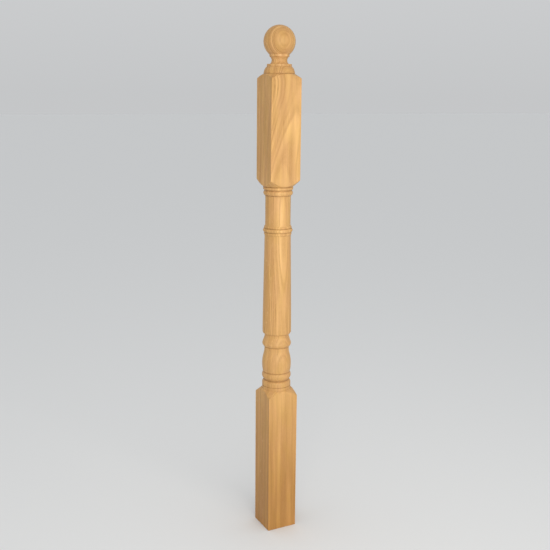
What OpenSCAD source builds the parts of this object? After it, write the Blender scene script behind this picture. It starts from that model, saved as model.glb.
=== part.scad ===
// Turned newel post in one piece of solid wood, millimetres, +Z up, foot on z = 0.
//
// The post is a square blank that has been spun on a lathe. Two lengths of it stay
// square, the rest is turned round, so the solid is what the blank and the turned
// outline have in common. The outline is drawn in the X-Y plane, x is the radius and
// y is the height, and every moulding stands on its own y = 0.

/* [Blank] */
// Width of the square blank across its flat sides
post_w = 76.2; // [75:0.1:90]
// Overall height, from the foot to the top of the ball
post_h = 1219.2; // [1150:0.1:1500]

/* [Square blocks] */
// Height of the lower block along its corners
lower_block_h = 345.5; // [200:0.5:400]
// Rise of the shoulder above the lower block
lower_shoulder_h = 16.5; // [12:0.5:30]
// Height of the upper block along its corners
upper_block_h = 228.6; // [150:0.1:300]
// Drop of the shoulder below the upper block
under_shoulder_h = 16.3; // [10:0.1:25]
// Rise of the shoulder above the upper block
over_shoulder_h = 10.9; // [6:0.1:20]

/* [Base mouldings] */
// Radius of the plain band on the lower shoulder
band_r = 34.7; // [33:0.1:36]
// Height of the plain band
band_h = 7; // [3:0.1:8]
// Radius at the bottom of the narrow quirk over the band
quirk_r = 33.4; // [31:0.1:34]
// Height of the quirk
quirk_h = 1.0; // [0.6:0.1:2]
// Height of the ring that rounds in above the quirk
base_ring_h = 14.4; // [10:0.1:18]
// Rounding radius of that ring
base_ring_round = 8; // [6:0.5:8]
// Radius at the bottom of the groove under the base bead
base_groove_r = 30.2; // [28:0.1:30.8]
// Height of that groove
base_groove_h = 1.8; // [1:0.1:4]
// Radius of the edges of the base bead
base_bead_edge_r = 31; // [30:0.1:32]
// Largest radius of the base bead
base_bead_r = 35.2; // [34:0.1:37]
// Height of the base bead
base_bead_h = 19.2; // [16:0.1:22]

/* [Vase] */
// Largest radius of the vase
belly_r = 35.1; // [34:0.1:37]
// Height of the belly above the foot of the vase
belly_z = 18.9; // [14:0.5:24]
// Radius at the throat of the vase
throat_r = 29.8; // [28:0.1:31]
// Height from the belly to the throat
throat_h = 37.2; // [30:0.5:45]
// Share of that height that bulges out, the rest hollows in
vase_bulge = 0.7; // [0.5:0.05:0.85]
// Height of the straight neck over the throat
vase_neck_h = 5.7; // [3:0.1:8]
// Radius at the bottom of the quirk over the vase
vase_quirk_r = 28.9; // [27:0.1:29.5]
// Height of that quirk
vase_quirk_h = 1; // [0.6:0.1:3]

/* [Tear ring] */
// Largest radius of the tear-shaped ring over the vase
tear_r = 34.8; // [33:0.1:36]
// Height from its lower edge to its widest place
tear_round_h = 7.8; // [6:0.1:10]
// Radius of its lower edge
tear_edge_r = 30.4; // [29.8:0.1:31]
// Height of the sloping side above the widest place
tear_slope_h = 17; // [12:0.5:20]
// Radius at the top of the slope
tear_top_r = 29.4; // [28:0.1:31]
// Height of the groove between the ring and the shaft
shaft_groove_h = 6.5; // [2:0.1:8]

/* [Shaft] */
// Radius at the foot of the shaft
shaft_foot_r = 34.5; // [33:0.1:36]
// Rounding radius of the foot of the shaft
shaft_round = 6; // [5:0.5:10]
// Height over which the foot of the shaft swells before it tapers straight
swell_h = 62; // [40:1:80]
// Radius at the head of the shaft
shaft_head_r = 31; // [29:0.1:32]

/* [Neck ring] */
// Height of the hollow that flares out to the ring, below it and above it
flare_h = 7.5; // [5:0.5:10]
// Radius of the flares where they meet the ring
flare_r = 32.5; // [32.1:0.1:33]
// Height of the flat edge of each flare
flare_edge_h = 1.4; // [1:0.1:3]
// Radius at the bottom of the quirks on both sides of the ring
ring_quirk_r = 31.6; // [30:0.1:31.8]
// Height of each quirk
ring_quirk_h = 0.8; // [0.5:0.1:1.5]
// Radius of the edges of the ring
ring_edge_r = 32.2; // [32:0.1:33]
// Largest radius of the ring
ring_r = 35; // [34:0.1:36]
// Height of the ring
ring_h = 9.2; // [7:0.1:11]

/* [Neck and capital] */
// Radius of the neck
neck_r = 29.9; // [28:0.1:31]
// Height of the neck
neck_h = 61.8; // [40:0.5:80]
// Radius where the neck has widened under the capital bead
cap_hollow_r = 31; // [30.4:0.1:31.4]
// Height over which the neck widens
cap_hollow_h = 6; // [4:0.1:8]
// Radius of the curve of that hollow
cap_hollow_curve = 20; // [15:0.5:30]
// Radius at the bottom of the quirk under the bead
cap_quirk_r = 30; // [29:0.1:30.4]
// Height of that quirk
cap_quirk_h = 0.7; // [0.5:0.1:2]
// Radius of the edges of the capital bead
cap_bead_edge_r = 32.2; // [32:0.1:33]
// Largest radius of the capital bead
cap_bead_r = 34.6; // [33.5:0.1:36]
// Height of the capital bead
cap_bead_h = 10.9; // [8:0.1:13]
// Radius at the bottom of the groove between the bead and the disc
cap_groove_r = 31.8; // [29:0.1:32]
// Height of that groove
cap_groove_h = 1.6; // [1:0.1:3]
// Radius of the disc under the upper block
disc_r = 35.2; // [34:0.1:36]
// Height of the disc
disc_h = 7.4; // [5:0.1:9]
// Rounding radius of the edge of the disc
disc_round = 2.4; // [1:0.1:2.4]

/* [Collar] */
// Radius at the foot of the collar
collar_r = 35.7; // [34:0.1:36.5]
// Radius of the curve of the collar
collar_curve = 22; // [20:0.5:26]
// Height of the curved side of the collar
collar_h = 15.6; // [12:0.1:18]
// Radius of the flat fillet on top of the collar
collar_top_r = 28.4; // [26:0.1:29]
// Height of that fillet
collar_top_h = 5.5; // [3:0.1:8]

/* [Ball finial] */
// Radius of the ball
ball_r = 36.4; // [34:0.1:37.5]
// Radius at the waist of the hollow neck under the ball
waist_r = 17.8; // [15:0.1:20]
// Height of the hollow neck
waist_h = 16.8; // [12:0.1:17.6]
// Radius of the curve of the hollow neck
waist_curve = 9.8; // [9.2:0.1:14]
// Radius of the small fillet that the ball sits on
seat_r = 22.8; // [22:0.1:24]
// Height from the underside of that fillet to the middle of the ball
seat_to_centre = 33; // [31:0.1:36]

/* [Hidden] */
$fn = 180;

// How far a cutting shape stands proud of what it cuts
spare = 1;
// Radius of the corners of the blank, and of the outline where the blank stays square
corner_r = post_w / sqrt(2);
clear_r = corner_r + 4 * spare;
// Radius of the core that all the mouldings are stacked round
core_r = waist_r - 1;
// How far one curve starts inside the curve it runs into, so that the two cross cleanly
hair = 0.02;

// Heights of the groups of mouldings, from the foot up
base_h = band_h + quirk_h + base_ring_h + base_groove_h + base_bead_h;
vase_h = belly_z + throat_h + vase_neck_h + vase_quirk_h;
tear_h = tear_round_h + tear_slope_h + shaft_groove_h;
neck_ring_h = 2 * (flare_h + flare_edge_h + ring_quirk_h) + ring_h;
capital_h = cap_hollow_h + cap_quirk_h + cap_bead_h + cap_groove_h + disc_h;
collar_group_h = collar_h + collar_top_h;

// Levels where the groups start
base_z = lower_block_h + lower_shoulder_h;
vase_z = base_z + base_h;
tear_z = vase_z + vase_h;
shaft_z = tear_z + tear_h;
ball_z = post_h - ball_r;
waist_z = ball_z - seat_to_centre - waist_h;
collar_z = waist_z - collar_group_h;
upper_block_top_z = collar_z - over_shoulder_h;
upper_block_z = upper_block_top_z - upper_block_h;
capital_z = upper_block_z - under_shoulder_h - capital_h;
neck_z = capital_z - neck_h;
neck_ring_z = neck_z - neck_ring_h;
shaft_h = neck_ring_z - shaft_z;

// Radius of the circle through both ends and the middle of an arc
function arc_r(chord, rise) = (pow(chord, 2) / 4 + pow(rise, 2)) / (2 * rise);

module at(y) {
    translate([0, y]) children();
}

// Plain band
module band(r, h) {
    square([r, h]);
}

// Band with a round side of radius curve that reaches max_r at y = centre, 0 < y < h
module bulge(max_r, curve, centre, h) {
    intersection() {
        translate([max_r - curve, centre]) circle(r = curve);
        square([max_r + spare, h]);
    }
    band(max(max_r - curve, core_r), h);
}

// Band with a hollow of radius curve that reaches min_r at y = centre
module hollow(edge_r, min_r, curve, centre, h) {
    difference() {
        square([edge_r, h]);
        translate([min_r + curve, centre]) circle(r = curve);
    }
}

// Round bead between two equal edges
module bead(edge_r, max_r, h) {
    bulge(max_r, arc_r(h, max_r - edge_r), h / 2, h);
}

// S-curve that swells to max_r at y = below and hollows to head_r at y = below + above
module ogee(max_r, head_r, below, above, bulge_share) {
    drop = max_r - head_r;
    curves = (pow(above, 2) + pow(drop, 2)) / (2 * drop);
    split_h = above * bulge_share;
    split_r = max_r - drop * bulge_share + hair;
    bulge(max_r, curves * bulge_share, below, below + above);
    at(below + split_h)
        hollow(split_r, head_r, curves * (1 - bulge_share), above - split_h, above - split_h);
}

// Hollow that widens from foot_r to edge_r over the height h
module flare(foot_r, edge_r, curve, h) {
    difference() {
        band(edge_r, h);
        translate([foot_r + curve, 0]) circle(r = curve);
    }
}

// Square block with a shoulder below and above it, y = 0 and y = h at its corners.
// The slopes of the shoulders run on past the corners to clear_r.
module block(foot_r, foot_h, head_r, head_h, h) {
    foot_lead = foot_h * (clear_r - corner_r) / (corner_r - foot_r);
    head_lead = head_h * (clear_r - corner_r) / (corner_r - head_r);
    polygon([
        [0, -foot_h],
        [foot_r, -foot_h],
        [clear_r, foot_lead],
        [clear_r, h - head_lead],
        [head_r, h + head_h],
        [0, h + head_h]
    ]);
}

module upside_down(h) {
    at(h) mirror([0, 1]) children();
}

module lower_block() {
    block(clear_r, 0, band_r, lower_shoulder_h, lower_block_h);
}

module base_mouldings() {
    ring_z = band_h + quirk_h;
    groove_z = ring_z + base_ring_h;
    band(band_r, band_h);
    at(band_h) band(quirk_r, quirk_h);
    at(ring_z) bulge(band_r, base_ring_round, base_ring_h - base_ring_round, base_ring_h);
    at(ring_z) band(band_r, base_ring_h - base_ring_round);
    at(ring_z) band(base_groove_r, base_ring_h + base_groove_h);
    at(groove_z + base_groove_h) bead(base_bead_edge_r, base_bead_r, base_bead_h);
}

module vase() {
    ogee(belly_r, throat_r, belly_z, throat_h, vase_bulge);
    at(belly_z + throat_h) band(throat_r, vase_neck_h);
    at(belly_z + throat_h + vase_neck_h) band(vase_quirk_r, vase_quirk_h);
}

module tear_ring() {
    curve = arc_r(2 * tear_round_h, tear_r - tear_edge_r);
    lean = asin((tear_r - tear_top_r) / tear_slope_h);
    touch_r = tear_r - curve * (1 - cos(lean)) - hair;
    touch_z = tear_round_h + curve * sin(lean);
    top_z = tear_round_h + tear_slope_h;
    bulge(tear_r, curve, tear_round_h, top_z);
    polygon([[0, tear_round_h], [touch_r, touch_z], [tear_top_r, top_z], [0, top_z]]);
    at(top_z) band(tear_top_r, shaft_groove_h);
}

module shaft() {
    taper_h = shaft_h - shaft_round - swell_h;
    lean = atan((shaft_foot_r - shaft_head_r) / (taper_h + swell_h / 2));
    swell_curve = swell_h / sin(lean);
    touch_r = shaft_foot_r - swell_curve * (1 - cos(lean)) - hair;
    touch_z = shaft_round + swell_h;
    bulge(shaft_foot_r, shaft_round, shaft_round, shaft_round);
    band(tear_top_r, shaft_round);
    at(shaft_round) bulge(shaft_foot_r, swell_curve, 0, swell_h + taper_h / 2);
    polygon([[0, shaft_round], [touch_r, touch_z], [shaft_head_r, shaft_h], [0, shaft_h]]);
}

module neck_ring() {
    side_h = flare_h + flare_edge_h + ring_quirk_h;
    ring_side(shaft_head_r);
    at(side_h) bead(ring_edge_r, ring_r, ring_h);
    at(side_h + ring_h) upside_down(side_h) ring_side(neck_r);
}

// Flare, flat edge and quirk between a stem of stem_r and the neck ring
module ring_side(stem_r) {
    flare(stem_r, flare_r, flare_h, flare_h);
    at(flare_h) band(flare_r, flare_edge_h);
    at(flare_h + flare_edge_h) band(ring_quirk_r, ring_quirk_h);
}

module capital() {
    bead_z = cap_hollow_h + cap_quirk_h;
    groove_z = bead_z + cap_bead_h;
    flare(neck_r, cap_hollow_r, cap_hollow_curve, cap_hollow_h);
    at(cap_hollow_h) band(cap_quirk_r, cap_quirk_h);
    at(bead_z) bead(cap_bead_edge_r, cap_bead_r, cap_bead_h);
    at(groove_z) band(cap_groove_r, cap_groove_h);
    at(groove_z + cap_groove_h) disc();
}

// Disc with a rounded edge
module disc() {
    bulge(disc_r, disc_round, disc_round, disc_round);
    band(disc_r - disc_round, disc_h);
    at(disc_round) band(disc_r, disc_h - 2 * disc_round);
    at(disc_h - disc_round) bulge(disc_r, disc_round, 0, disc_round);
}

module upper_block() {
    block(disc_r, under_shoulder_h, collar_r, over_shoulder_h, upper_block_h);
}

module collar() {
    bulge(collar_r, collar_curve, 0, collar_h);
    at(collar_h) band(collar_top_r, collar_top_h);
}

module ball_finial() {
    hollow(seat_r, waist_r, waist_curve, waist_h / 2, waist_h);
    at(waist_h) band(seat_r, seat_to_centre);
    at(waist_h + seat_to_centre) intersection() {
        circle(r = ball_r);
        translate([0, -ball_r - spare]) square([ball_r + spare, 2 * (ball_r + spare)]);
    }
}

// One core runs through all the mouldings, so that together they are one solid
module core() {
    band(core_r, ball_z);
}

module turned_outline() {
    core();
    lower_block();
    at(base_z) base_mouldings();
    at(vase_z) vase();
    at(tear_z) tear_ring();
    at(shaft_z) shaft();
    at(neck_ring_z) neck_ring();
    at(neck_z) band(neck_r, neck_h);
    at(capital_z) capital();
    at(upper_block_z) upper_block();
    at(collar_z) collar();
    at(waist_z) ball_finial();
}

module newel_post() {
    color("#DDB077") intersection() {
        rotate_extrude() turned_outline();
        translate([-post_w / 2, -post_w / 2, 0]) cube([post_w, post_w, post_h + spare]);
    }
}

newel_post();
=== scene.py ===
"""Newel post: one finely turned mesh with its wood, a plain floor, soft studio light and the camera.

The mesh is worked out in millimetres from the foot up and put into the frame in metres.
"""

import math

import bpy
import numpy as np
from mathutils import Matrix, Vector


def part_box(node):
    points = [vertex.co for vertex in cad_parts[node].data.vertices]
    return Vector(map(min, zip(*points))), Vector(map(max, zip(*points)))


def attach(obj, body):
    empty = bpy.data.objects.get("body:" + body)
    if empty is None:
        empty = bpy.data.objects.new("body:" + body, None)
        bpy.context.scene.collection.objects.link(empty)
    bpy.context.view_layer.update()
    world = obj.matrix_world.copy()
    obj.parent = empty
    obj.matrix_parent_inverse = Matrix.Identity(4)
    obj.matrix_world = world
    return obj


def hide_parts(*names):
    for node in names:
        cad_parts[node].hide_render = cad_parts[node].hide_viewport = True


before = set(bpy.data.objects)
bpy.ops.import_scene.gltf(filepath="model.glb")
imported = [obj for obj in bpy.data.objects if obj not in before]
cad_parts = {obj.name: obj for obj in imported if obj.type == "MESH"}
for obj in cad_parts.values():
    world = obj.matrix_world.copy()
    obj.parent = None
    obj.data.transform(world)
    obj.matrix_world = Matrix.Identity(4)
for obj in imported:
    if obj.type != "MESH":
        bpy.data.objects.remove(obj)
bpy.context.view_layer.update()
MM = 0.001
low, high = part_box("newel_post")
HALF = (high.x - low.x) / 2 / MM
HEIGHT = (high.z - low.z) / MM
CORNER = HALF * math.sqrt(2)

# ---------------------------------------------------------------- levels and radii
# In millimetres: heights end in _Z and radii in _R. A corner level is where a shoulder starts at the
# square's sharp corners, and the level of the moulding next to it is where it meets the turned work.

LOWER_CORNER_Z = 345.5
BAND_R, BAND_Z = 34.7, 362.0
VASE_FOOT_Z = 405.4
TEAR_RING_FOOT_Z = 468.2
SHAFT_FOOT_Z = 499.568
SHAFT_HEAD_R, SHAFT_HEAD_Z = 31.0, 739.1
NECK_R, NECK_Z = 29.9, 767.7
CAPITAL_R, CAPITAL_Z = 35.2, 856.1
UPPER_FOOT_CORNER_Z, UPPER_TOP_CORNER_Z = 872.4, 1101.0
COLLAR_R, COLLAR_Z = 35.7, 1111.9
BALL_R, BALL_FOOT_Z = 36.4, 1154.425

# ---------------------------------------------------------------- turned outline
# A stretch of outline is a list of (radius, height) from below to above.

ARC_CHORD = 1.6  # the longest straight step on a curve
ARC_TURN = math.radians(7)  # the most that a curve turns in one step


def arc(centre_r, centre_z, curve, from_z, to_z, side=1):
    """Points on a circle from one level to the next, on its outer side (1) or inner side (-1)."""
    a0 = math.asin(max(-1.0, (from_z - centre_z) / curve))
    a1 = math.asin(min(1.0, (to_z - centre_z) / curve))
    steps = max(3, math.ceil(max(curve * (a1 - a0) / ARC_CHORD, (a1 - a0) / ARC_TURN)))
    angles = [a0 + (a1 - a0) * i / steps for i in range(steps + 1)]
    return [(centre_r + side * curve * math.cos(a), centre_z + curve * math.sin(a)) for a in angles]


def bead(edge_r, widest_r, from_z, h):
    """A round bead between two equal edges."""
    rise = widest_r - edge_r
    curve = (h * h / 4 + rise * rise) / (2 * rise)
    return arc(widest_r - curve, from_z + h / 2, curve, from_z, from_z + h)


def between(a, b, parts):
    """Points that split a straight line, its ends left out."""
    return [(a[0] + (b[0] - a[0]) * i / parts, a[1] + (b[1] - a[1]) * i / parts) for i in range(1, parts)]


def base_mouldings():
    """A band with one fine groove, a round, a sloping quirk and the bead under the vase."""
    groove_r, groove_z, groove_top_z = 33.4, 369.0, 370.0
    groove = [(BAND_R, groove_z), (groove_r, groove_z), (groove_r, groove_top_z), (BAND_R, groove_top_z)]
    round_curve, round_z, round_top_z = 8.0, 376.4, 383.594
    quirk_r, bead_z, bead_edge_r, bead_r = 30.2, 386.2, 31.0, 35.2
    return (
        [(BAND_R, BAND_Z)]
        + groove
        + arc(BAND_R - round_curve, round_z, round_curve, round_z, round_top_z)
        + [(quirk_r, bead_z)]
        + bead(bead_edge_r, bead_r, bead_z, VASE_FOOT_Z - bead_z)
    )


def vase():
    """An S curve from the belly in to the throat, then a quirk."""
    belly_r, throat_r, below, above, belly_share = 35.1, 29.8, 18.9, 37.2, 0.7
    quirk_r, quirk_z = 28.9, 467.2
    belly_z, throat_z = VASE_FOOT_Z + below, VASE_FOOT_Z + below + above
    split_z = belly_z + above * belly_share
    curves = (above**2 + (belly_r - throat_r) ** 2) / (2 * (belly_r - throat_r))
    out, hollow = curves * belly_share, curves * (1 - belly_share)
    return (
        arc(belly_r - out, belly_z, out, VASE_FOOT_Z, split_z)
        + arc(throat_r + hollow, throat_z, hollow, split_z, throat_z, side=-1)[1:]
        + [(throat_r, quirk_z), (quirk_r, quirk_z), (quirk_r, TEAR_RING_FOOT_Z)]
    )


def tear_ring():
    """A ring that is round below and slopes in above."""
    edge_r, widest_r, top_r, round_h, slope_h = 30.4, 34.8, 29.4, 7.8, 17.0
    rise = widest_r - edge_r
    curve = (round_h**2 + rise**2) / (2 * rise)
    lean = math.asin((widest_r - top_r) / slope_h)
    round_z = TEAR_RING_FOOT_Z + round_h
    side = arc(widest_r - curve, round_z, curve, TEAR_RING_FOOT_Z, round_z + curve * math.sin(lean))
    top = (top_r, round_z + slope_h)
    return side + between(side[-1], top, parts=6) + [top, (top_r, SHAFT_FOOT_Z)]


def shaft():
    """A rounded foot, a slight swell above it and a straight taper."""
    foot_r, foot_curve, foot_z, swell_h = 34.5, 6.0, 505.5, 62.0
    swell_steps, taper_steps = 12, 12
    edge = arc(foot_r - foot_curve, foot_z, foot_curve, SHAFT_FOOT_Z, foot_z)
    lean = math.atan((foot_r - SHAFT_HEAD_R) / (SHAFT_HEAD_Z - foot_z - swell_h / 2))
    curve = swell_h / math.sin(lean)
    swell = [
        (foot_r - curve * (1 - math.cos(a)), foot_z + curve * math.sin(a))
        for a in (lean * i / swell_steps for i in range(1, swell_steps + 1))
    ]
    return edge + swell + between(swell[-1], (SHAFT_HEAD_R, SHAFT_HEAD_Z), taper_steps)


def neck_ring():
    """A bead between two quirks and two flared edges."""
    flare, flare_top_z, flare_foot_z = 7.5, 743.6, 762.022
    edge_r, quirk_r, bead_edge_r, bead_r = 32.5, 31.6, 32.2, 35.0
    quirk_z, bead_z, bead_top_z, quirk_top_z = 748.0, 748.8, 758.0, 758.8
    return (
        arc(SHAFT_HEAD_R + flare, SHAFT_HEAD_Z, flare, SHAFT_HEAD_Z, flare_top_z, side=-1)
        + [(edge_r, quirk_z), (quirk_r, quirk_z), (quirk_r, bead_z)]
        + bead(bead_edge_r, bead_r, bead_z, bead_top_z - bead_z)
        + [(quirk_r, bead_top_z), (quirk_r, quirk_top_z), (edge_r, quirk_top_z)]
        + arc(NECK_R + flare, NECK_Z, flare, flare_foot_z, NECK_Z, side=-1)
    )


def capital():
    """The straight neck, a cove, a bead, a quirk and a double round."""
    cove_curve, cove_z, cove_top_z = 20.0, 829.5, 835.5
    bead_foot_r, bead_edge_r, bead_r, bead_z, bead_top_z = 30.0, 32.2, 34.6, 836.2, 847.1
    quirk_r, quirk_top_z = 31.8, 848.7
    edge_curve, lower_round_z, upper_round_z = 2.4, 851.1, 853.7
    return (
        between((NECK_R, NECK_Z), (NECK_R, cove_z), parts=6)
        + arc(NECK_R + cove_curve, cove_z, cove_curve, cove_z, cove_top_z, side=-1)
        + [(bead_foot_r, cove_top_z), (bead_foot_r, bead_z)]
        + bead(bead_edge_r, bead_r, bead_z, bead_top_z - bead_z)
        + [(quirk_r, bead_top_z), (quirk_r, quirk_top_z)]
        + arc(CAPITAL_R - edge_curve, lower_round_z, edge_curve, quirk_top_z, lower_round_z)
        + arc(CAPITAL_R - edge_curve, upper_round_z, edge_curve, upper_round_z, CAPITAL_Z)
        + [(CAPITAL_R, CAPITAL_Z)]
    )


def collar_and_ball():
    """A quarter round, a small step, a hollow neck, a step and the ball."""
    quarter_curve, step_r, step_z, step_top_z = 22.0, 28.4, 1127.5, 1133.0
    hollow_r, hollow_curve, hollow_z, hollow_top_z, ball_step_r = 27.6, 9.8, 1141.4, 1149.8, 22.8
    return (
        arc(COLLAR_R - quarter_curve, COLLAR_Z, quarter_curve, COLLAR_Z, step_z)
        + [(step_r, step_z), (step_r, step_top_z)]
        + arc(hollow_r, hollow_z, hollow_curve, step_top_z, hollow_top_z, side=-1)
        + [(ball_step_r, hollow_top_z)]
        + arc(0.0, HEIGHT - BALL_R, BALL_R, BALL_FOOT_Z, HEIGHT)[:-1]
    )


# ---------------------------------------------------------------- square blank
ARRIS = 1.3  # radius of the eased long corners
COLUMNS_A_FACE = 38
COLUMNS_A_CORNER = 6
SLOPE_PARTS = [i / 5 for i in range(1, 5)]  # rows up a shoulder, as shares of it
BLOCK_PARTS = [0.02] + [i / 16 for i in range(1, 16)] + [0.98]  # rows up a block, as shares of it
FOOT_INSET = 2.5  # how far the first row of the underside lies in from the edge
FOOT_EASE, SHOULDER_EASE, TURNED_EASE = 0.5, 0.6, 0.3  # how far back an edge's easing starts
SHARP_TURN = math.radians(18)  # a turn in the outline that counts as an edge


def blank_columns():
    """Angles round the post and the blank's radius at each, closely spaced at the eased corners."""
    flat = HALF - ARRIS
    turn = math.atan2(flat, HALF)
    angles, radii = [], []
    for quarter in range(4):
        start = quarter * math.pi / 2
        for i in range(COLUMNS_A_FACE):
            a = -turn + 2 * turn * i / COLUMNS_A_FACE
            angles.append(start + a)
            radii.append(HALF / math.cos(a))
        for i in range(COLUMNS_A_CORNER):
            b = math.pi / 2 * i / COLUMNS_A_CORNER
            x, y = flat + ARRIS * math.cos(b), flat + ARRIS * math.sin(b)
            angles.append(start + math.atan2(y, x))
            radii.append(math.hypot(x, y))
    return np.array(angles), np.array(radii)


def shoulder(s, round_r, round_z, corner_z):
    """Height at which the cone of a shoulder leaves the blank, where the blank's radius is s."""
    return corner_z + (round_z - corner_z) * (CORNER - s) / (CORNER - round_r)


def spread(a_r, a_z, b_r, b_z, shares):
    """Rows between two points given for every column, as (radius, height) pairs."""
    return [(a_r + (b_r - a_r) * k, a_z + (b_z - a_z) * k) for k in shares]


def rows_of_the_post(s):
    """The whole outline in every column, and the rows that are sharp edges with their easing."""
    one = np.ones_like(s)
    rows, sharp = [], {}

    def add(points, ease=None):
        for r, z in points:
            rows.append(np.stack([r * one, z * one], axis=1))
        if ease:
            sharp[len(rows) - 1] = ease

    lower_top = shoulder(s, BAND_R, BAND_Z, LOWER_CORNER_Z)
    upper_foot = shoulder(s, CAPITAL_R, CAPITAL_Z, UPPER_FOOT_CORNER_Z)
    upper_top = shoulder(s, COLLAR_R, COLLAR_Z, UPPER_TOP_CORNER_Z)

    add([(s - FOOT_INSET, 0.0)])
    add([(s, 0.0)], FOOT_EASE)
    add(spread(s, 0.0, s, lower_top, BLOCK_PARTS))
    add([(s, lower_top)], SHOULDER_EASE)
    add(spread(s, lower_top, BAND_R, BAND_Z, SLOPE_PARTS))
    turned_from = len(rows)
    add(base_mouldings() + vase() + tear_ring() + shaft() + neck_ring() + capital())
    turned_to = len(rows)
    add(spread(CAPITAL_R, CAPITAL_Z, s, upper_foot, SLOPE_PARTS))
    add([(s, upper_foot)], SHOULDER_EASE)
    add(spread(s, upper_foot, s, upper_top, BLOCK_PARTS))
    add([(s, upper_top)], SHOULDER_EASE)
    add(spread(s, upper_top, COLLAR_R, COLLAR_Z, SLOPE_PARTS))
    collar_from = len(rows)
    add(collar_and_ball())
    rows = np.array(rows)
    for i in [*range(turned_from, turned_to), *range(collar_from, len(rows) - 1)]:
        before, here, after = rows[i - 1 : i + 2, 0]
        u, w = here - before, after - here
        cosine = float(u @ w) / (np.linalg.norm(u) * np.linalg.norm(w) + 1e-12)
        if cosine < math.cos(SHARP_TURN):
            sharp[i] = TURNED_EASE
    return rows, sharp


def eased(rows, sharp):
    """Every sharp edge rounded off by a short curve that starts and ends a little way along its sides."""
    most_of_a_side, curve_steps = 0.45, (0.0, 0.33, 0.67, 1.0)
    out = []
    for i, row in enumerate(rows):
        if i not in sharp:
            out.append(row)
            continue
        ends = []
        for side in (rows[i - 1] - row, rows[i + 1] - row):
            length = np.linalg.norm(side, axis=1)
            reach = np.minimum(sharp[i], most_of_a_side * length)[:, None]
            ends.append(row + side / (length[:, None] + 1e-9) * reach)
        for k in curve_steps:
            out.append(ends[0] * (1 - k) ** 2 + row * 2 * k * (1 - k) + ends[1] * k * k)
    return np.array(out)


def crease_shade_shares(rows):
    """How much painted shade each point gets for lying in a crease: 0 on open stretches, more where the outline
    closes in.

    A corner between two mouldings gets the most. A groove closed on both sides gets less, as it
    lies in its own shadow already. The angles are in degrees: how far the outline leans out above
    and below the point, less the slack, over the sum that counts as a full crease.
    """
    reach, nearest = 3.0, 0.05
    slack, full, wall = 14.0, 60.0, 30.0
    corner_most, groove_most = 0.55, 0.25
    out = np.zeros(rows.shape[:2])
    for i, row in enumerate(rows):
        leans = []
        for step in (-1, 1):
            lean = np.full(rows.shape[1], -90.0)
            j = i + step
            while 0 <= j < len(rows):
                away = rows[j] - row
                distance = np.linalg.norm(away, axis=1)
                if distance.min() > reach:
                    break
                near = (distance <= reach) & (distance > nearest)
                angle = np.degrees(np.arctan2(away[:, 0], np.abs(away[:, 1]) + 1e-9))
                lean = np.where(near, np.maximum(lean, angle), lean)
                j += step
            leans.append(lean)
        most = np.where(np.minimum(*leans) > wall, groove_most, corner_most)
        out[i] = np.clip((leans[0] + leans[1] - slack) / full, 0.0, most)
    return out


def build_post():
    angles, s = blank_columns()
    rows = eased(*rows_of_the_post(s))
    radius, height = rows[:, :, 0], rows[:, :, 1]
    points = np.stack([radius * np.cos(angles), radius * np.sin(angles), height], axis=2)
    underside = np.array([points[0] * (k, k, 0.0) for k in (0.3, 0.6)])
    grid = np.concatenate([underside, points])
    n_rows, n_cols = grid.shape[:2]
    verts = grid.reshape(-1, 3).tolist() + [[0.0, 0.0, 0.0], [0.0, 0.0, HEIGHT]]
    under, top = n_rows * n_cols, n_rows * n_cols + 1
    faces = []
    for j in range(n_cols):
        k = (j + 1) % n_cols
        faces.append((under, k, j))
        faces.append((top, (n_rows - 1) * n_cols + j, (n_rows - 1) * n_cols + k))
        for i in range(n_rows - 1):
            faces.append((i * n_cols + j, i * n_cols + k, (i + 1) * n_cols + k, (i + 1) * n_cols + j))
    mesh = bpy.data.meshes.new("newel_post_turned")
    mesh.from_pydata([[c * MM for c in v] for v in verts], [], faces)
    mesh.validate()
    mesh.shade_smooth()
    # painted shade for the creases, kept on the mesh as a point attribute that the wood reads
    shares = np.concatenate([np.zeros(len(underside) * n_cols), crease_shade_shares(rows).ravel(), [0.0, 0.0]])
    painted_crease_shade = mesh.attributes.new("painted_crease_shade", "FLOAT", "POINT")
    painted_crease_shade.data.foreach_set("value", shares.astype(np.float32))
    post = bpy.data.objects.new("newel_post_turned", mesh)
    bpy.context.scene.collection.objects.link(post)
    normals = post.modifiers.new("even_shading", "WEIGHTED_NORMAL")
    normals.weight = 80
    return post


# ---------------------------------------------------------------- wood


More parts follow.
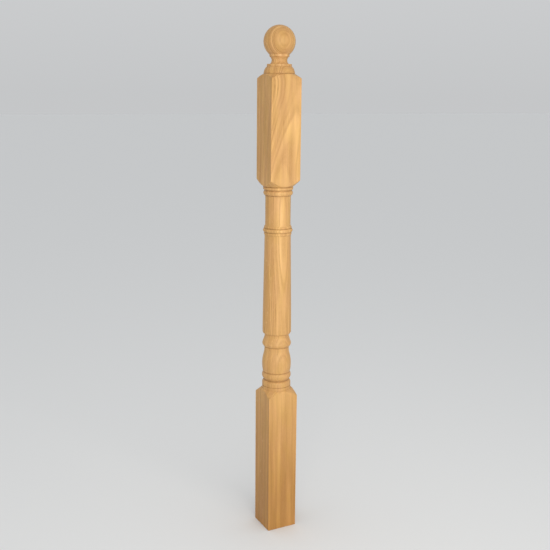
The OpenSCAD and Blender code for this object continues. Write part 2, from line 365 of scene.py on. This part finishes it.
class Web:
    """Adds shader nodes: numbers and sockets go in, a socket comes out."""

    def __init__(self, tree):
        self.tree = tree

    def feed(self, socket, value):
        if isinstance(value, bpy.types.NodeSocket):
            self.tree.links.new(value, socket)
        else:
            socket.default_value = value

    def node(self, kind, inputs=(), out=0, **settings):
        made = self.tree.nodes.new("ShaderNode" + kind)
        for name, value in settings.items():
            setattr(made, name, value)
        for key, value in dict(inputs).items():
            self.feed(made.inputs[key], value)
        return made.outputs[out]

    def axes(self, place):
        """The x, y and z of a place."""
        made = self.tree.nodes.new("ShaderNodeSeparateXYZ")
        self.feed(made.inputs[0], place)
        return made.outputs

    def math(self, operation, a, b=0.0, clamp=False):
        return self.node("Math", {0: a, 1: b}, operation=operation, use_clamp=clamp)

    def length(self, a, b):
        """The length of the longest side of a right triangle."""
        squares = self.math("MULTIPLY", a, a), self.math("MULTIPLY", b, b)
        return self.math("SQRT", self.math("ADD", *squares))

    def scaled(self, place, x, y, z):
        return self.node("VectorMath", {0: place, 1: (x, y, z)}, operation="MULTIPLY")

    def noise(self, place, detail):
        """Noise of unit scale at a place, from 0 to 1."""
        return self.node("TexNoise", {"Vector": place, "Scale": 1.0, "Detail": detail, "Roughness": 0.5})

    def grain(self, place, wide, deep, tall, detail=1.0):
        """Noise of 0 to 1 whose patches are about so many millimetres wide, deep and tall."""
        return self.noise(self.scaled(place, 1 / wide, 1 / deep, 1 / tall), detail)

    def noise_along(self, distance, span):
        """Noise of 0 to 1 that changes about once in a span of a distance."""
        steps = self.math("DIVIDE", distance, span)
        return self.node("TexNoise", {"W": steps, "Scale": 1.0, "Detail": 1.0}, noise_dimensions="1D")

    def swing(self, noise, reach):
        """Noise of 0 to 1 turned into -reach to reach."""
        return self.math("MULTIPLY", self.math("SUBTRACT", noise, 0.5), 2 * reach)

    def ranged(self, value, low_in, high_in, low_out, high_out):
        """A value between two levels turned into one between two others, and held there past them."""
        levels = {"From Min": low_in, "From Max": high_in, "To Min": low_out, "To Max": high_out}
        return self.node("MapRange", {"Value": value, **levels})

    def steps(self, value, *stops):
        """A value of 0 to 1 read off a list of (position, level)."""
        made = self.tree.nodes.new("ShaderNodeValToRGB")
        ramp = made.color_ramp
        ramp.interpolation = "EASE"
        while len(ramp.elements) < len(stops):
            ramp.elements.new(0.5)
        for element, (position, level) in zip(ramp.elements, stops):
            element.position = position
            element.color = (level, level, level, 1.0)
        self.feed(made.inputs[0], value)
        return made.outputs[0]

    def curve(self, height, floor_value, span, points):
        """A smooth curve along the height of the post, in millimetres: (height, value) pairs."""
        made = self.tree.nodes.new("ShaderNodeFloatCurve")
        line = made.mapping.curves[0]
        ends = [points[0], points[-1]]
        for point, (z, value) in zip(line.points, ends):
            point.location = (z / HEIGHT, (value - floor_value) / span)
        for z, value in points[1:-1]:
            line.points.new(z / HEIGHT, (value - floor_value) / span)
        made.mapping.update()
        self.feed(made.inputs["Value"], self.math("DIVIDE", height, HEIGHT))
        return self.node("Math", {0: made.outputs[0], 1: span, 2: floor_value}, operation="MULTIPLY_ADD")

    def blend(self, share, a, b, kind="MIX"):
        made = self.tree.nodes.new("ShaderNodeMix")
        made.data_type = "RGBA"
        made.blend_type = kind
        colour_a, colour_b, colour_out = 6, 7, 2
        self.feed(made.inputs["Factor"], share)
        self.feed(made.inputs[colour_a], a)
        self.feed(made.inputs[colour_b], b)
        return made.outputs[colour_out]

    def tinted(self, share, colour, tint):
        """A colour multiplied by a tint, as far as the share says."""
        return self.blend(share, colour, self.blend(1.0, colour, tint, "MULTIPLY"))


# Where the tree's centre runs in front of the -Y face, so that the growth rings cross the post
# as on the real one: (height, distance) pairs for its depth and its sideways place.
PITH_DEPTH = [
    (0, 116.5), (200, 117), (345, 117.5), (480, 118.5), (560, 117.5), (650, 113), (740, 109),
    (800, 109), (860, 111.4), (900, 113.4), (965, 116.0), (1040, 120.0), (1105, 123.5), (1130, 125.5),
    (1150, 122.5), (1183, 120), (1219, 117.5),
]
PITH_SIDE = [
    (0, 6), (345, 4), (560, 2.5), (680, 1), (800, -4), (870, -8), (900, -4), (940, 5), (965, 11),
    (1040, 26), (1080, 31), (1105, 26), (1130, 8), (1150, -8), (1183, -19), (1219, -22),
]

# How wide the rings are, how strongly they show, and how far the wood is darkened and warmed, partly its own
# deeper colour and partly painted shade: (height, value) pairs.
RING_WIDTH = [
    (0, 4.2), (345, 4.0), (480, 3.6), (560, 4.4), (800, 4.4), (1100, 4.6), (1118, 3.2), (1219, 2.8),
]
RING_STRENGTH = [
    (0, 0.45), (345, 0.50), (420, 0.55), (480, 0.75), (540, 1.3), (800, 1.3), (900, 1.05), (1100, 1.1),
    (1122, 1.5), (1140, 0.5), (1160, 1.4), (1219, 1.5),
]
TONE_AND_SHADE_BY_HEIGHT = [
    (0, 1.0), (100, 0.95), (170, 0.80), (300, 0.46), (380, 0.18), (450, 0.0), (860, 0.0), (900, 0.20),
    (1100, 0.20), (1120, 0.25), (1140, 0.0), (1170, 0.18), (1219, 0.24),
]
FIRST_RING = 90.0  # distance from the tree's centre at which the rings are counted from

# Colours of the wood, and tints that multiply it
PALE, TAN, BROWN = (0.92, 0.560, 0.218, 1), (0.50, 0.265, 0.085, 1), (0.28, 0.135, 0.040, 1)
RAY_COLOUR = (0.86, 0.56, 0.27, 1)
YELLOW_TINT, PINK_TINT = (0.99, 0.995, 0.94, 1), (1.0, 0.975, 1.05, 1)
# tint that darkens the wood with height: partly its own deeper colour, partly painted shade
TONE_AND_SHADE_TINT = (0.68, 0.58, 0.41, 1)
# tint of the painted shade in the creases
CREASE_SHADE_TINT = (0.42, 0.33, 0.26, 1)
# how much lighter the painted highlight makes the long corners
ARRIS_HIGHLIGHT = 1.14


def make_wood():
    material = bpy.data.materials.new("oak")
    material.use_nodes = True
    tree = material.node_tree
    tree.nodes.clear()
    w = Web(tree)
    place = w.scaled(w.node("TexCoord", out="Object"), 1 / MM, 1 / MM, 1 / MM)
    x, y, z = w.axes(place)

    # Growth rings: distance from the tree's centre line, made a little wavy
    depth = w.math("ADD", y, w.curve(z, 100.0, 50.0, PITH_DEPTH))
    side = w.math("SUBTRACT", x, w.curve(z, -40.0, 80.0, PITH_SIDE))
    rho = w.length(depth, side)
    slow = w.swing(w.grain(place, 45, 45, 160), 1.5)
    quick = w.swing(w.grain(place, 8, 8, 70, detail=2.0), 0.45)
    rho = w.math("ADD", rho, w.math("ADD", slow, quick))

    # Early wood, unevenly spaced and not equally strong every year or everywhere
    uneven = w.swing(w.noise_along(rho, 11.0), 0.7)
    width = w.curve(z, 0.0, 5.0, RING_WIDTH)
    phase = w.math("ADD", w.math("DIVIDE", w.math("SUBTRACT", rho, FIRST_RING), width), uneven)
    ring = w.math("FRACT", phase)
    year = w.node("TexWhiteNoise", {"W": w.math("FLOOR", phase)}, noise_dimensions="1D")
    early = w.steps(ring, (0.0, 0.5), (0.07, 1.0), (0.24, 0.95), (0.50, 0.12), (0.88, 0.0), (1.0, 0.5))
    early = w.math("MULTIPLY", early, w.ranged(year, 0.0, 1.0, 0.30, 1.0))
    plain = w.grain(place, 24, 24, 70)
    early = w.math("MULTIPLY", early, w.ranged(plain, 0.36, 0.60, 0.35, 1.0))
    early = w.math("MULTIPLY", early, w.curve(z, 0.0, 1.5, RING_STRENGTH))
    # Changes of tone over a few years and over many
    layers = w.noise_along(rho, 4.5)
    spans = w.noise_along(rho, 14.0)

    # Open pores: short fine streaks along the grain, mostly in the early wood
    streak = w.grain(place, 0.42, 0.42, 9)
    pores = w.steps(streak, (0.0, 0.0), (0.54, 0.0), (0.66, 1.0), (1.0, 1.0))
    pores = w.math("MULTIPLY", pores, w.ranged(early, 0.0, 1.0, 0.12, 1.0))

    # Rays: thin sheets that run out from the tree's centre. Their thickness is measured round it, at
    # the post's usual distance.
    ray_thick, ray_deep, ray_tall, usual_distance = 0.9, 14.0, 13.0, 115.0
    round_way = w.math("MULTIPLY", w.math("ARCTAN2", side, depth), usual_distance)
    sizes = ((round_way, ray_thick), (rho, ray_deep), (z, ray_tall))
    ray_place = w.node("CombineXYZ", {i: w.math("DIVIDE", way, size) for i, (way, size) in enumerate(sizes)})
    rays = w.steps(w.noise(ray_place, 1.0), (0.0, 0.0), (0.63, 0.0), (0.70, 1.0), (1.0, 1.0))

    fibre = w.grain(place, 1.3, 1.3, 80, detail=2.0)
    band = w.grain(place, 18, 11, 260, detail=2.0)
    patch = w.grain(place, 45, 45, 130)

    # Tan early wood in pale wood, and slower changes of tone between the same two
    colour = w.blend(w.math("MULTIPLY", early, 0.90, clamp=True), PALE, TAN)
    tones = (
        (layers, 0.30, 0.70, 0.45),
        (spans, 0.32, 0.68, 0.45),
        (band, 0.35, 0.65, 0.50),
        (patch, 0.35, 0.70, 0.22),
    )
    for noise, none_at, full_at, most in tones:
        colour = w.blend(w.ranged(noise, none_at, full_at, 0.0, most), colour, TAN)
    # Patches that lean to pink and to yellow
    hue = w.grain(place, 16, 16, 60)
    lean = w.blend(w.ranged(hue, 0.32, 0.68, 0.0, 1.0), YELLOW_TINT, PINK_TINT)
    colour = w.blend(1.0, colour, lean, "MULTIPLY")
    colour = w.blend(w.math("MULTIPLY", pores, 0.60), colour, BROWN)
    colour = w.blend(w.math("MULTIPLY", rays, 0.22), colour, RAY_COLOUR)
    # Fibres, and a painted highlight that makes the long corners a little lighter
    fibres = w.ranged(fibre, 0.25, 0.75, 0.90, 1.06)
    arris_highlight = w.ranged(w.length(x, y), CORNER - 2.2, CORNER - 0.9, 1.0, ARRIS_HIGHLIGHT)
    shade = w.math("MULTIPLY", fibres, arris_highlight)
    colour = w.blend(1.0, colour, w.node("CombineColor", {0: shade, 1: shade, 2: shade}), "MULTIPLY")
    # The wood is darker and warmer towards the foot, and a little on the upper block and ball: partly its own
    # deeper colour, partly painted shade for the light falling off towards the foot
    colour = w.tinted(w.curve(z, 0.0, 1.0, TONE_AND_SHADE_BY_HEIGHT), colour, TONE_AND_SHADE_TINT)
    # and darker in the creases: painted shade where the mouldings close in on each other
    crease = w.node("Attribute", attribute_name="painted_crease_shade", out="Fac")
    colour = w.tinted(w.math("MULTIPLY", crease, 0.9), colour, CREASE_SHADE_TINT)

    rough = w.ranged(early, 0.0, 1.0, 0.50, 0.62)
    rough = w.math("ADD", rough, w.math("MULTIPLY", pores, 0.15))
    rough = w.math("SUBTRACT", rough, w.math("MULTIPLY", rays, 0.10))

    # Relief: pores are cut in, late wood and fibres stand a little proud
    height = w.math("MULTIPLY", pores, -1.0)
    height = w.math("SUBTRACT", height, w.math("MULTIPLY", early, 0.35))
    height = w.math("ADD", height, w.math("MULTIPLY", fibre, 0.5))
    relief = w.node("Bump", {"Height": height, "Strength": 0.5, "Distance": 0.00012})

    shader = tree.nodes.new("ShaderNodeBsdfPrincipled")
    w.feed(shader.inputs["Base Color"], colour)
    w.feed(shader.inputs["Roughness"], rough)
    w.feed(shader.inputs["Normal"], relief)
    shader.inputs["Specular IOR Level"].default_value = 0.35
    target = tree.nodes.new("ShaderNodeOutputMaterial")
    w.feed(target.inputs["Surface"], shader.outputs[0])
    return material


post = build_post()
post.data.materials.append(make_wood())
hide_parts("newel_post")
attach(post, "root")


# ---------------------------------------------------------------- floor and light
def make_floor():
    half_side, drop = 40.0, 0.0002  # the drop keeps the floor clear of the post's underside
    material = bpy.data.materials.new("pale_floor")
    material.use_nodes = True
    shader = material.node_tree.nodes["Principled BSDF"]
    shader.inputs["Base Color"].default_value = (0.785, 0.79, 0.79, 1)
    shader.inputs["Roughness"].default_value = 0.9
    shader.inputs["Specular IOR Level"].default_value = 0.1
    corners = [(x * half_side, y * half_side, 0) for x, y in ((-1, -1), (1, -1), (1, 1), (-1, 1))]
    mesh = bpy.data.meshes.new("floor")
    mesh.from_pydata(corners, [], [(0, 1, 2, 3)])
    mesh.materials.append(material)
    floor = bpy.data.objects.new("floor", mesh)
    floor.location.z = -drop
    bpy.context.scene.collection.objects.link(floor)


def make_light(name, azimuth, elevation, distance, width, height, power, colour):
    """A wide soft light that looks at the upper middle of the post, hung clear of the floor.

    Azimuth 0 is in front of the -Y face, 90 on the +X side.
    """
    aimed_at, beam = 0.65, math.radians(110)  # a share of the post's height, and the widest angle lit
    data = bpy.data.lights.new(name, "AREA")
    data.shape, data.size, data.size_y = "RECTANGLE", width, height
    data.energy, data.color = power, colour
    data.spread = beam
    light = bpy.data.objects.new(name, data)
    a, e = math.radians(azimuth), math.radians(elevation)
    out = Vector((math.sin(a) * math.cos(e), -math.cos(a) * math.cos(e), math.sin(e)))
    middle = Vector((0, 0, HEIGHT * MM * aimed_at))
    light.location = middle + out * distance
    light.rotation_mode = "QUATERNION"
    light.rotation_quaternion = out.to_track_quat("Z", "Y")
    light.visible_camera = False
    bpy.context.scene.collection.objects.link(light)


def make_world():
    """A pale dome, a little lighter overhead, so that the floor runs into it without a hard line."""
    world = bpy.data.worlds.new("studio")
    bpy.context.scene.world = world
    world.use_nodes = True
    w = Web(world.node_tree)
    upward = w.axes(w.node("TexCoord", out="Generated"))[2]
    level = w.ranged(upward, 0.0, 0.5, 0.575, 0.75)
    back = world.node_tree.nodes["Background"]
    back.inputs["Color"].default_value = (0.97, 0.985, 1.0, 1)
    w.feed(back.inputs["Strength"], level)


make_floor()
make_world()
make_light(
    "key", azimuth=-10, elevation=11, distance=2.1, width=2.5, height=1.4,
    power=14.8, colour=(1.0, 0.96, 0.89),
)


# ---------------------------------------------------------------- camera
def make_camera():
    """The photograph's viewing angle. Places are in metres and angles in degrees, azimuths from the -Y side."""
    spot_angle, spot_distance, spot_height = -27.419, 1.9386, 1.0664
    turn, pitch, roll = -27.256, 12.308, 0.533
    data = bpy.data.cameras.new("camera")
    data.sensor_width = 36.0
    data.lens = 54.25
    data.clip_start, data.clip_end = 0.05, 200.0
    camera = bpy.data.objects.new("camera", data)
    spot = math.radians(spot_angle)
    camera.location = (math.sin(spot) * spot_distance, -math.cos(spot) * spot_distance, spot_height)
    turned = Matrix.Rotation(math.radians(turn), 4, "Z")
    pitched = Matrix.Rotation(math.radians(90 - pitch), 4, "X")
    rolled = Matrix.Rotation(math.radians(roll), 4, "Z")
    camera.rotation_mode = "QUATERNION"
    camera.rotation_quaternion = (turned @ pitched @ rolled).to_quaternion()
    bpy.context.scene.collection.objects.link(camera)
    bpy.context.scene.camera = camera


make_camera()
bpy.context.scene.view_settings.view_transform = "Standard"

bpy.context.view_layer.update()
